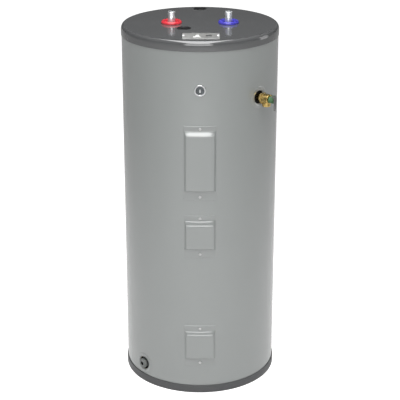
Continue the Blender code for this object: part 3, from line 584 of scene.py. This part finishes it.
def make_plug(node):
    """Dished cap of a service hole, with short moulded ribs across the dish."""
    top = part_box(node)[1].z
    seat, dish, foot = top - 0.0013, top - 0.0029, top - 0.0086
    outline = rounded([(0, dish), (0.0185, dish, 0.0015), (0.0207, top, 0.0007), (0.0243, top, 0.0009),
                       (0.0250, seat), (0.0231, seat), (0.0231, foot), (0.0212, foot),
                       (0.0205, top - 0.0046), (0, top - 0.0046)], 5)
    bm = turned(outline, 72, over(node))
    for k in range(4):
        at = over(node) @ spin(45 * k, "Z")
        block((-0.017, 0.017), (-0.0005, 0.0005), (top - 0.0031, top - 0.0022), at, 0.0002, into=bm)
    stand_in(node, bm, "plug", 30)


def make_screw(node, at, seat, look_name="screw"):
    """Hex washer head with a driver slot and a threaded shank."""
    washer = rounded([(0, seat), (0.0049, seat), (0.0050, seat + 0.0008, 0.0004), (0, seat + 0.0010)], 3)
    head = shape(node + "_detail", turned(washer, 32, at))
    corner = 0.0039
    crown = [(0, seat + 0.0005), (corner, seat + 0.0005), (corner, seat + 0.0028),
             (corner * 0.86, seat + 0.0033), (0, seat + SCREW_HEIGHT)]
    weld(head, turned(crown, 6, at))
    cut(head, block((-0.0045, 0.0045), (-0.0005, 0.0005), (seat + 0.0021, seat + 0.0050), at))
    depth, pitch, bore = 0.0004, 0.0012, 0.0006
    thread = (seat - 0.0078, seat - 0.0006)
    attach(head, threaded(0.0018, depth, pitch, bore, seat - 0.0080, seat + 0.0002, thread, 12, at))
    stand_in(node, head, look_name, 30)


def make_wiring_cover():
    low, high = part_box("junction_box_cover")
    edge = 0.004
    corners = []
    for cx, cy, start in ((high.x - edge, high.y - edge, 0), (low.x + edge, high.y - edge, 90),
                          (low.x + edge, low.y + edge, 180), (high.x - edge, low.y + edge, 270)):
        turns = [radians(start + a) for a in range(0, 91, 18)]
        corners += [(cx + edge * cos(a), cy + edge * sin(a)) for a in turns]
    cover = shape("junction_box_cover_detail", plate(corners, low.z, high.z, edge=0.0005))
    through = (low.z - 0.01, high.z + 0.01)
    holes = rod(0.0110, *through, 64, upright(*KNOCKOUT))
    for node in ("left_cover_screw", "right_cover_screw"):
        rod(SCREW_HOLE, *through, 24, over(node), into=holes)
    cut(cover, holes)
    top = high.z
    lip = [(0.0111, top - 0.0002), (0.0128, top - 0.0002), (0.0126, top + 0.0006), (0.0113, top + 0.0007)]
    weld(cover, turned(lip, 64, upright(*KNOCKOUT)))
    stand_in("junction_box_cover", cover, "cover_zinc", 30)
    tag = [(-0.0235, -0.2260), (0.0035, -0.2260), (0.0035, -0.2200), (-0.0020, -0.2140),
           (-0.0050, -0.1880), (-0.0120, -0.1880), (-0.0160, -0.2100), (-0.0235, -0.2140)]
    small_part("blank_cover_tag", plate(tag, top + 0.0001, top + 0.0004, edge=0.0), "label",
               "wiring_cover")


# ---- hatches ----
PANELS = {  # heights of each hatch's flange, raised part and flat face
    "upper": {"flange": (0.764, 1.038), "raised": (0.797, 1.018), "face": (0.802, 1.003)},
    "middle": {"flange": (0.545, 0.708), "raised": (0.577, 0.687), "face": (0.582, 0.669)},
    "lower": {"flange": (0.111, 0.276), "raised": (0.141, 0.253), "face": (0.146, 0.238)},
}
for hatch, heights in PANELS.items():
    heights["screws"] = [middle_of(f"{hatch}_panel_{end}_screw").z for end in ("bottom", "top")]
PANEL_FLANGE = 0.0575  # half widths along the jacket
PANEL_FOOT = 0.055
PANEL_FACE = 0.048
PANEL_RAISE = 0.009
PANEL_WALL = 0.0009


def ramp_lines(foot, face, steps=12):
    """Places across a sloping edge, each with how far the sheet has risen there: flat, slope and flat."""
    soft = 0.24  # share of the slope that each bend takes
    lines = []
    for k in range(steps + 1):
        t = -soft + (1 + 2 * soft) * k / steps
        if t < soft:
            rise = (t + soft) ** 2 / (4 * soft)
        elif t > 1 - soft:
            rise = 1 - (1 + soft - t) ** 2 / (4 * soft)
        else:
            rise = t
        lines.append((foot + (face - foot) * t, rise))
    return lines


def turned_down(edge, inwards):
    """The flange's edge, bent towards the jacket. inwards is the sign of the way to the hatch's middle."""
    return [(edge, -0.09), (edge + 0.0004 * inwards, -0.02), (edge + 0.0009 * inwards, 0.0)]


def make_panel(name, panel):
    """Pressed sheet cover bent to the jacket: flat flange, sloping edges with rounded bends, raised face."""
    half_columns = turned_down(PANEL_FLANGE, -1)
    half_columns += [c for c in ramp_lines(PANEL_FOOT, PANEL_FACE) if c[0] < PANEL_FLANGE - 0.001]
    half_columns += [(PANEL_FACE * f, 1.0) for f in (0.88, 0.7, 0.5, 0.25)]
    columns = [(-x, up) for x, up in half_columns] + [(0.0, 1.0)] + half_columns[::-1]
    flange_low, flange_high = panel["flange"]
    raised_low, raised_high = panel["raised"]
    face_low, face_high = panel["face"]
    rows = turned_down(flange_low, 1)
    rows += [(flange_low + (raised_low - flange_low) * f, 0.0) for f in (0.3, 0.6)]
    rows += ramp_lines(raised_low, face_low)
    rows += [(face_low + (face_high - face_low) * f / 8, 1.0) for f in range(1, 8)]
    above = turned_down(flange_high, -1)
    above += [(flange_high + (raised_high - flange_high) * f, 0.0) for f in (0.3, 0.6)]
    rows += reversed(above + ramp_lines(raised_high, face_high))
    bm = bmesh.new()
    skins = []
    for lift, lowest in ((PANEL_WALL, -1.0), (0.0, 0.0)):
        skin = []
        for height, row_up in rows:
            line = []
            for across, column_up in columns:
                up = max(min(row_up, column_up), lowest)
                radius = JACKET_RADIUS + GAP + lift + PANEL_RAISE * up
                turn = across / JACKET_RADIUS
                line.append(bm.verts.new((radius * sin(turn), -radius * cos(turn), height)))
            skin.append(line)
        skins.append(skin)
    last_row, last_column = len(rows) - 1, len(columns) - 1
    for skin in skins:
        for r in range(last_row):
            for c in range(last_column):
                bm.faces.new((skin[r][c], skin[r][c + 1], skin[r + 1][c + 1], skin[r + 1][c]))
    outer, inner = skins
    for r in (0, last_row):
        for c in range(last_column):
            bm.faces.new((inner[r][c], inner[r][c + 1], outer[r][c + 1], outer[r][c]))
    for c in (0, last_column):
        for r in range(last_row):
            bm.faces.new((inner[r][c], inner[r + 1][c], outer[r + 1][c], outer[r][c]))
    stand_in(f"{name}_access_panel", bm, "panel", 50)


def make_pad(node):
    """Fibreglass pad: a soft slab with crowned faces, pinched edges and a lumpy surface."""
    low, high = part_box(node)
    middle, half = (low + high) / 2, (high - low) / 2
    bm = bmesh.new()
    bmesh.ops.create_cube(bm, size=2)
    bmesh.ops.subdivide_edges(bm, edges=bm.edges[:], cuts=23, use_grid_fill=True)
    for v in bm.verts:
        x, y, z = v.co
        edge = max(abs(x), abs(z))
        crown = 1 - 0.30 * max(0.0, edge - 0.72) / 0.28
        dent = noise.noise(Vector((x * 3.1, y * 2.0, z * 5.3)) * 1.7 + middle * 9)
        tuft = noise.noise(Vector((x * 17, y * 9, z * 23)) + middle * 31)
        squeeze = 1 - 0.025 * (1 - y * y) - 0.012 * abs(dent)
        thick = crown - 0.07 * abs(dent) - 0.03 * abs(tuft)
        v.co = (middle.x + half.x * x * squeeze, middle.y + half.y * y * thick,
                middle.z + half.z * z * squeeze)
    made = stand_in(node, bm, "insulation", sharp=180)


# ---- what the hatches cover ----
SIDES = (-1, 1)


def make_element(node, height):
    """Screw-in immersion element: hex head, threaded plug, U-shaped heating tube and two terminals."""
    at = radial(0, height)
    seat = 0.2348
    element = shape(node + "_detail", hexagon(0.038, seat, seat + 0.0085, at, 0.0012))
    radius, depth, pitch, bore = 0.0166, 0.0010, 0.0022, 0.004
    thread = (0.2205, seat - 0.001)
    weld(element, threaded(radius, depth, pitch, bore, 0.2195, seat + 0.002, thread, 40, at))
    half, far, near, straight = 0.0105, -0.050, 0.2250, 0.1
    turns = [radians(a) for a in range(180, 361, 15)]
    path = [(-half, 0, near), (-half, 0, straight)]
    path += [(half * cos(a), 0, far + half * sin(a)) for a in turns]
    path += [(half, 0, straight), (half, 0, near)]
    attach(element, tube([at @ Vector(p) for p in path], 0.004, 16))
    stand_in(node, element, "copper", sharp=35)
    foot, top = seat + 0.0086, 0.2505
    terminal = turned(rounded([(0, foot), (0.0130, foot), (0.0130, top, 0.001), (0, top)], 4), 48, at)
    for side in SIDES:
        x = side * 0.0068
        rod(0.0034, 0.2500, 0.2518, 24, at @ upright(x, 0), 0.0004, into=terminal)
        block(around(x, 0.0030), (-0.0004, 0.0004), (0.2515, 0.2520), at, into=terminal)
    small_part(node + "_terminals", terminal, "black")


def make_thermostat(node):
    low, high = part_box(node)
    half_x, half_z = (high.x - low.x) / 2, (high.z - low.z) / 2
    at = radial(0, middle_of(node).z)
    back, front = -high.y, -low.y
    shelf = front - 0.010
    bm = block((-half_x, half_x), (-half_z, half_z), (back, shelf), at, 0.0012)
    inset = half_z - 0.008
    block((-0.026, 0.026), (-inset, inset), (shelf - GAP - 0.0001, front), at, 0.0010, into=bm)
    places = [(side * 0.0298, row * half_z * 1.6) for side in SIDES for row in (-0.35, 0.35)]
    for x, y in places:
        block(around(x, 0.0028), around(y, 0.0045), (shelf - GAP, shelf + 0.0030), at, 0.0006, into=bm)
    stand_in(node, bm, "black", 35)
    screws = bmesh.new()
    for x, y in places:
        spot = at @ upright(x, y)
        rod(0.0024, shelf + 0.0029, shelf + 0.0044, 24, spot, 0.0005, into=screws)
        block((-0.0021, 0.0021), (-0.0003, 0.0003), (shelf + 0.0042, shelf + 0.0046), spot, into=screws)
    small_part(node + "_terminals", screws, "brass")
    scale = bmesh.new()
    for k in range(9):  # graduation marks round the dial
        spot = at @ upright(0.012, 0) @ spin(-120 + 30 * k, "Z")
        block((-0.0003, 0.0003), (0.0095, 0.0113), (front - 0.0002, front + 0.0003), spot, into=scale)
    small_part(node + "_scale", scale, "white_plastic")


def make_dial(node):
    """Knurled dial with a screwdriver slot and a pointer mark."""
    spot = middle_of(node)
    low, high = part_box(node)
    at = radial(0, spot.z) @ upright(spot.x, 0)
    back, front = -high.y, -low.y
    rim = 0.0085
    outline = rounded([(0, back), (rim, back, 0.0003), (rim, front, 0.0008), (0, front)], 3)

    def knurl(turn, radius, height):
        return radius * (1 - 0.03 * (0.5 + 0.5 * cos(24 * turn))) if radius > 0.007 else radius

    dial = shape(node + "_detail", turned(outline, 144, at, knurl))
    cut(dial, block((-0.0007, 0.0007), (-0.0060, 0.0060), (front - 0.0012, front + 0.001), at))
    cut(dial, block((-0.0004, 0.0004), (0.0062, 0.0082), (front - 0.0005, front + 0.001), at))
    stand_in(node, dial, "white_plastic", sharp=35)


def make_high_limit():
    """Safety switch with four screw terminals and the red reset button."""
    node = "high_limit_switch"
    low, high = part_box(node)
    at = radial(0, middle_of(node).z)
    half_x, half_z = (high.x - low.x) / 2, (high.z - low.z) / 2
    back, front = -high.y, -low.y
    screw_x, beyond = 0.019, 0.01
    case = shape(node + "_detail", block((-half_x, half_x), (-half_z, half_z), (back, front), at, 0.0014))
    cut(case, rod(0.0048, front - 0.008, front + beyond, 48, at))
    for side in SIDES:
        groove = around(side * screw_x, 0.005)
        cut(case, block(groove, (-half_z - beyond, half_z + beyond), (front - 0.006, front + beyond), at))
    stand_in(node, case, "black", 35)
    screws = bmesh.new()
    for side in SIDES:
        for row in (-0.012, 0.012):
            spot = at @ upright(side * screw_x, row)
            rod(0.0028, front - 0.0062, front - 0.0040, 24, spot, 0.0005, into=screws)
            block((-0.0024, 0.0024), (-0.0003, 0.0003), (front - 0.0042, front - 0.0037), spot, into=screws)
    small_part("high_limit_terminals", screws, "brass")
    low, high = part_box("reset_button")
    crown = rounded([(0, -high.y), (0.0044, -high.y), (0.0044, -low.y, 0.0012), (0, -low.y)], 6)
    stand_in("reset_button", turned(crown, 48, at), "red_plastic", sharp=60)


def make_wiring():
    """Twisted supply pair from the junction box to the safety switch, and the wires between thermostats."""
    y, bend = -0.235, 1.28
    feed = [(0.012, -0.205, 1.3225), (0.006, -0.220, 1.3235), (0.001, -0.232, 1.318), (0, y, 1.308),
            (0, y, bend)]
    run = smooth(feed) + [Vector((0, y, bend - 0.005 * k)) for k in range(1, 58)]
    for strand, look_name in enumerate(("wire_black", "wire_red")):
        twisted = []
        for i, point in enumerate(run):
            turn = i * 0.5 + pi * strand
            twisted.append(point + Vector((cos(turn), sin(turn), 0)) * 0.00145)
        made = shape(f"supply_wire_{strand + 1}", tube(twisted, 0.00140, 10))
        finish(made, look_name, "heater", ["supply_wiring"], 60)
    for node, side, look_name in (("middle_wiring", 1, "wire_red"), ("lower_wiring", -1, "wire_black")):
        low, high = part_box(node)
        top, bottom, depth = high.z - 0.0025, low.z + 0.0025, middle_of(node).y
        near, corner, out = side * 0.0341, side * 0.0378, side * 0.0397
        path = [(near, depth, top), (corner, depth, top - 0.0008), (out, depth, top - 0.006),
                (out, depth, bottom + 0.006), (corner, depth, bottom + 0.0008), (near, depth, bottom)]
        stand_in(node, tube(smooth(path), 0.0023, 16), look_name, 60)


# ---- side valves ----
# Heights in the outlines of the valves are distances from the tank's axis.
def saddle(inner, outer, at, sides=96):
    """Sheet collar bent to the jacket round a radial axis, with rolled inner and outer edges."""
    thick = 0.0014
    profile = [(inner, GAP), (inner, thick * 0.6), (inner + 0.0006, thick), (outer - 0.0030, thick),
               (outer - 0.0012, thick * 0.8), (outer, GAP)]
    bm = bmesh.new()
    rings = []
    for radius, lift in profile:
        ring = []
        for i in range(sides):
            x, y = radius * cos(tau * i / sides), radius * sin(tau * i / sides)
            ring.append(bm.verts.new(at @ Vector((x, y, sqrt((JACKET_RADIUS + lift) ** 2 - x * x)))))
        rings.append(ring)
    return bridge(bm, rings + rings[:1])


def make_dam(node, at, inner, outer):
    """Soft foam dam with a bulging face."""
    low, high = DAM
    outline = rounded([(inner, low), (outer, low), (outer, high, 0.003), (inner, high, 0.004)], 5)

    def lumpy(turn, radius, height):
        return radius - 0.0004 * abs(noise.noise(Vector((cos(turn) * 4, sin(turn) * 4, height * 400))))

    stand_in(node, turned(outline, 96, at, lumpy), "dam", 60)


def make_relief_valve():
    at = radial(RELIEF_ANGLE, RELIEF_HEIGHT)
    make_dam("relief_valve_dam", at, 0.0143, 0.0239)
    stand_in("relief_valve_collar", saddle(0.0252, 0.0390, at), "panel", 50)

    neck, shoulder, top = 0.0152, 0.0176, 0.3300
    outline = [(0, PORT), (PIPE_RADIUS, PORT), (PIPE_RADIUS, 0.2930, 0.001), (neck, 0.2935, 0.0006),
               (neck, 0.3015), (shoulder, 0.3020, 0.0012), (shoulder, 0.3285, 0.0016),
               (0.0150, top, 0.0005), (0, top)]
    body = shape("relief_valve_body_detail", turned(rounded(outline, 4), 64, at))
    weld(body, hexagon(0.0355, 0.2928, 0.3018, at, 0.0012))
    down = at @ upright(0, 0, 0.3136) @ spin(90, "X")
    pipe, collar, end = 0.0142, 0.0150, 0.0262
    spout = rounded([(0, 0), (pipe, 0), (pipe, 0.0130, 0.001), (collar, 0.0145, 0.0012),
                     (collar, end, 0.0014), (0, end)], 4)
    weld(body, turned(spout, 64, down))
    cut(body, rod(0.0065, 0.21, 0.31, 32, at))
    cut(body, rod(0.0110, 0.3035, 0.34, 48, at))
    radius, depth, pitch, bore = 0.0108, 0.0010, 0.0018, 0.004
    cut(body, threaded(radius, depth, pitch, bore, 0.0130, 0.0400, (0.0135, 0.0390), 40, down))
    cut(body, rod(0.0094, 0.0, 0.0450, 40, down))
    stand_in("relief_valve_body", body, "brass", sharp=35)

    def ribs(turn, radius, height):
        ribbed = 0.3366 < height < 0.3455 and radius > 0.0105
        return radius - (0.0007 * (0.5 + 0.5 * cos(18 * turn)) if ribbed else 0.0)

    foot, wall, top = 0.3303, 0.0112, 0.3470
    shell = [(wall, foot), (0.0124, 0.3313), (0.0124, 0.3345), (0.0113, 0.3360), (wall, 0.3370),
             (wall, 0.3400), (wall, 0.3430), (wall, 0.3453), (0.0110, 0.3462), (0.0102, top),
             (0.0026, top), (0.0026, 0.3450), (0.0090, 0.3450), (0.0090, foot)]
    bonnet = shape("relief_valve_bonnet_detail", turned(shell, 144, at, ribs))
    weld(bonnet, block((-0.003, 0.003), (0.0098, 0.0165), (0.3395, 0.3458), at, 0.0008))
    pivot = at @ upright(0, 0.0138, 0.3425)
    crosswise = pivot @ spin(90, "Y")
    cut(bonnet, rod(0.0018, -0.01, 0.01, 24, crosswise))
    stand_in("relief_valve_bonnet", bonnet, "green_plastic", sharp=35)
    pin = rod(0.0015, -0.0078, 0.0078, 24, crosswise, 0.0004)
    stand_in("relief_lever_pin", pin, "steel")

    disc, rod_radius, low, high = 0.0085, 0.0020, 0.3038, 0.3492
    stem = rounded([(0, low), (disc, low, 0.0004), (disc, 0.3060, 0.0005), (0.0030, 0.3066, 0.0005),
                    (rod_radius, 0.3090), (rod_radius, high, 0.0006), (0, high)], 4)
    stand_in("relief_valve_stem", turned(stem, 40, at), "brass", sharp=35)
    turns, steps, coil, foot, rise = 5.5, 28, 0.0060, 0.3075, 0.0325
    count = round(turns * steps)
    helix = []
    for i in range(count + 1):
        turn = tau * i / steps
        helix.append(at @ Vector((coil * cos(turn), coil * sin(turn), foot + rise * i / count)))
    stand_in("relief_valve_spring", tube(helix, 0.0008, 10), "steel", 60)
    probe = rounded([(0, 0.110), (0.0045, 0.1105, 0.003), (0.0045, 0.2185, 0.001), (0.0035, 0.2190),
                     (0.0035, 0.3020), (0, 0.3030)], 5)
    stand_in("relief_valve_probe", turned(probe, 32, at), "copper", sharp=35)
    make_lever(pivot)


def make_lever(pivot):
    """Pressed lever: strip with a round tip, a hole near its end, a ridge and two cheeks at the pivot."""
    wide, narrow, tip, top = 0.0067, 0.0050, -0.0510, 0.0020
    taper, corner = -0.010, 0.0015
    outline = [(wide, top - corner), (wide - corner, top), (-wide + corner, top), (-wide, top - corner),
               (-wide, taper)]
    turns = [radians(a) for a in range(180, 361, 15)]
    outline += [(narrow * cos(a), tip + narrow + narrow * sin(a)) for a in turns]
    outline += [(wide, taper)]
    lever = shape("relief_valve_lever_detail", plate(outline, 0.0088, 0.0102, pivot, 0.0004))
    for side in SIDES:
        cheek = sorted((side * 0.0050, side * wide))
        weld(lever, block(cheek, (-0.0024, 0.0024), (-0.0026, 0.0092), pivot, 0.0003))
    cut(lever, rod(0.0018, -0.01, 0.01, 24, pivot @ spin(90, "Y")))
    cut(lever, rod(0.0022, 0.0, 0.02, 24, pivot @ upright(0, -0.0455)))
    weld(lever, block((-0.0011, 0.0011), (-0.038, -0.012), (0.0098, 0.0108), pivot, 0.0004))
    stand_in("relief_valve_lever", lever, "lever", 35)


def make_drain_valve():
    at = radial(DRAIN_ANGLE, DRAIN_HEIGHT)
    make_dam("drain_valve_dam", at, 0.0175, 0.0249)
    stand_in("drain_valve_collar", saddle(0.0262, 0.0400, at), "panel", 50)
    bore, sleeve, mouth = 0.0110, 0.0168, 0.2765
    body = rounded([(bore, PORT), (PIPE_RADIUS, PORT), (PIPE_RADIUS, 0.2600), (sleeve, 0.2605, 0.0006),
                    (sleeve, mouth, 0.0010), (bore, mouth, 0.0005)], 4)
    stand_in("drain_valve_body", turned(body, 64, at), "grey_plastic")
    radius, depth, pitch, bore = 0.0133, 0.0007, 0.0022, 0.0080
    outlet = threaded(radius, depth, pitch, bore, 0.2800, 0.2912, (0.2808, 0.2904), 64, at)
    nozzle = shape("drain_valve_stem_detail", outlet)
    stem = 0.0106
    weld(nozzle, turned([(bore, 0.2380), (stem, 0.2380), (stem, 0.2802), (bore, 0.2802)], 64, at))
    stand_in("drain_valve_stem", nozzle, "grey_plastic", sharp=45)
    # Painted shade: a near-black disc just inside the outlet's mouth stands in for the dark inside of the
    # open bore.
    back, face, edge = 0.2880, 0.2900, 0.0079
    bore_shade_disc = turned(rounded([(0, back), (edge, back), (edge, face, 0.0004), (0, face)]), 48, at)
    small_part("drain_valve_bore_shade_disc", bore_shade_disc, "dam", "drain_stem")

    def scallop(turn, radius, height):
        return radius - (0.0008 * (0.5 + 0.5 * cos(12 * turn)) if radius > 0.0160 else 0.0)

    inner, outer, back, front = 0.0136, 0.0180, 0.2808, 0.2896
    ring = rounded([(inner, back), (outer, back, 0.0010), (outer, front, 0.0018), (inner, front, 0.0010)], 6)
    stand_in("drain_valve_knob", turned(ring, 144, at, scallop), "grey_plastic", sharp=50)


# ---- CAD nodes that keep their shape ----
def dress_cad_nodes():
    kept = {"tank": "enamel", "foam_insulation": "foam", "dip_tube": "grey_plastic", "anode_rod": "magnesium",
            "junction_box": "zinc"}
    for node, look_name in kept.items():
        mesh = frame["nodes"][node].data
        mesh.materials.clear()
        mesh.materials.append(LOOKS[look_name])
        mesh.shade_smooth()
        mesh.set_sharp_from_angle(angle=radians(30))


# ---- stage ----
ROOM = 14.0  # radius and height of the white room
ROOM_COVE = 3.0  # radius of the curve between its floor and its wall
POOL_NEAR, POOL_FAR = 0.5, 3.6  # the lit floor fades between these distances from the heater
POOL_BRIGHT, POOL_DIM = 0.50, 0.28
SKY_LOW, SKY_HIGH = 0.07, 0.4  # brightness of the surroundings, level and straight up
LIGHTS = {  # place, aim, width, height, watts
    "overhead_box": ((-0.10, -1.65, 3.35), (-0.10, -1.65, 0.0), 1.9, 4.6, 140),
    "front_box": ((-0.15, -4.60, 2.04), (0.0, 0.0, 1.30), 3.2, 1.8, 58),
    "right_box": ((3.20, 0.60, 1.60), (0.0, 0.0, 1.00), 1.0, 1.8, 8),
}
CAMERA_PLACE = (0.0, -4.446, 2.345)
CAMERA_DOWN = 20.745  # degrees
CAMERA_LENS, CAMERA_SENSOR = 114.0, 36.0


def add_floor(name, bm, drop, seen):
    """An evenly lit surface, either seen by the camera alone or only throwing light at the heater."""
    floor = shape(name, bm)
    floor.location.z = -drop
    floor.visible_camera = seen
    floor.visible_diffuse = floor.visible_glossy = floor.visible_shadow = not seen
    paint = bpy.data.materials.new(name)
    paint.use_nodes = True
    fill(paint.node_tree.nodes["Principled BSDF"],
         {"Base Color": (0.5, 0.5, 0.5, 1), "Roughness": 0.9, "Specular IOR Level": 0.1,
          "Emission Color": (1, 1, 1, 1), "Emission Strength": 1.0})
    floor.data.materials.append(paint)
    return paint.node_tree


def make_floors():
    """A white room for the picture, and under it a floor whose light fades away from the heater."""
    room = rounded([(0, 0), (ROOM, 0, ROOM_COVE), (ROOM, ROOM), (0, ROOM)], 12)
    add_floor("studio_floor", turned(room, 96), 0.0005, True)
    bm = bmesh.new()
    bmesh.ops.create_grid(bm, x_segments=8, y_segments=8, size=30)
    tree = add_floor("bounce_floor", bm, 0.0020, False)
    where = add(tree, "TexCoord")
    length = add(tree, "VectorMath")
    length.operation = "LENGTH"
    pool = add(tree, "MapRange", {"From Min": POOL_NEAR, "From Max": POOL_FAR, "To Min": POOL_BRIGHT,
                                  "To Max": POOL_DIM})
    pool.interpolation_type = "SMOOTHSTEP"
    tree.links.new(where.outputs["Object"], length.inputs[0])
    tree.links.new(length.outputs["Value"], pool.inputs["Value"])
    tree.links.new(pool.outputs["Result"], tree.nodes["Principled BSDF"].inputs["Emission Strength"])


def make_stage():
    """White floors, soft studio lights and the camera at the photograph's angle."""
    scene = bpy.context.scene
    scene.view_settings.view_transform = "Standard"
    make_floors()

    world = bpy.data.worlds.new("studio")
    scene.world = world
    world.use_nodes = True
    tree = world.node_tree
    links = tree.links
    sky = tree.nodes["Background"]
    place = add(tree, "TexCoord")
    split = add(tree, "SeparateXYZ")
    ramp = add(tree, "ValToRGB")
    level, high = ramp.color_ramp.elements
    level.position = 0.45
    level.color = (SKY_LOW, SKY_LOW, SKY_LOW, 1)
    high.position = 0.95
    high.color = (SKY_HIGH, SKY_HIGH, SKY_HIGH, 1)
    links.new(place.outputs["Generated"], split.inputs["Vector"])
    links.new(split.outputs["Z"], ramp.inputs["Fac"])
    links.new(ramp.outputs["Color"], sky.inputs["Color"])
    sky.inputs["Strength"].default_value = 1.0

    for name, (spot, aim, width, height, watts) in LIGHTS.items():
        lamp = bpy.data.lights.new(name, "AREA")
        lamp.shape = "RECTANGLE"
        lamp.size, lamp.size_y = width, height
        lamp.energy = watts
        thing = bpy.data.objects.new(name, lamp)
        bpy.context.collection.objects.link(thing)
        thing.location = spot
        thing.visible_camera = False
        thing.rotation_euler = (Vector(spot) - Vector(aim)).to_track_quat("Z", "Y").to_euler()

    camera = bpy.data.objects.new("camera", bpy.data.cameras.new("camera"))
    bpy.context.collection.objects.link(camera)
    camera.location = CAMERA_PLACE
    camera.rotation_euler = (radians(90 - CAMERA_DOWN), 0, 0)
    camera.data.sensor_width = CAMERA_SENSOR
    camera.data.lens = CAMERA_LENS
    scene.camera = camera


def make_cover_screw(node, look_name):
    make_screw(node, over(node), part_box(node)[1].z - SCREW_HEIGHT, look_name)


make_cap()
make_jacket()
make_jacket_seam()
make_pan()
make_badge()
for x, word, ring_look in ((-NIPPLE_X, "hot", "red_plastic"), (NIPPLE_X, "cold", "blue_plastic")):
    make_nipple(f"{word}_water_nipple", x)
    make_nipple_ring(f"{word}_nipple_ring", x, ring_look)
make_plug("anode_access_plug")
make_plug("foam_port_plug")
make_wiring_cover()
make_cover_screw("left_cover_screw", "bright_screw")
make_cover_screw("right_cover_screw", "bright_screw")
make_cover_screw("ground_screw", "green_screw")
for panel_name, panel in PANELS.items():
    make_panel(panel_name, panel)
    make_pad(f"{panel_name}_insulation_pad")
    make_element(f"{panel_name}_heating_element", middle_of(f"{panel_name}_heating_element").z)
    make_thermostat(f"{panel_name}_thermostat")
    make_dial(f"{panel_name}_thermostat_dial")
    for end, height in zip(("bottom", "top"), panel["screws"]):
        make_screw(f"{panel_name}_panel_{end}_screw", radial(0, height), JACKET_RADIUS + 2 * GAP + PANEL_WALL)
make_high_limit()
make_wiring()
make_relief_valve()
make_drain_valve()
dress_cad_nodes()
make_stage()
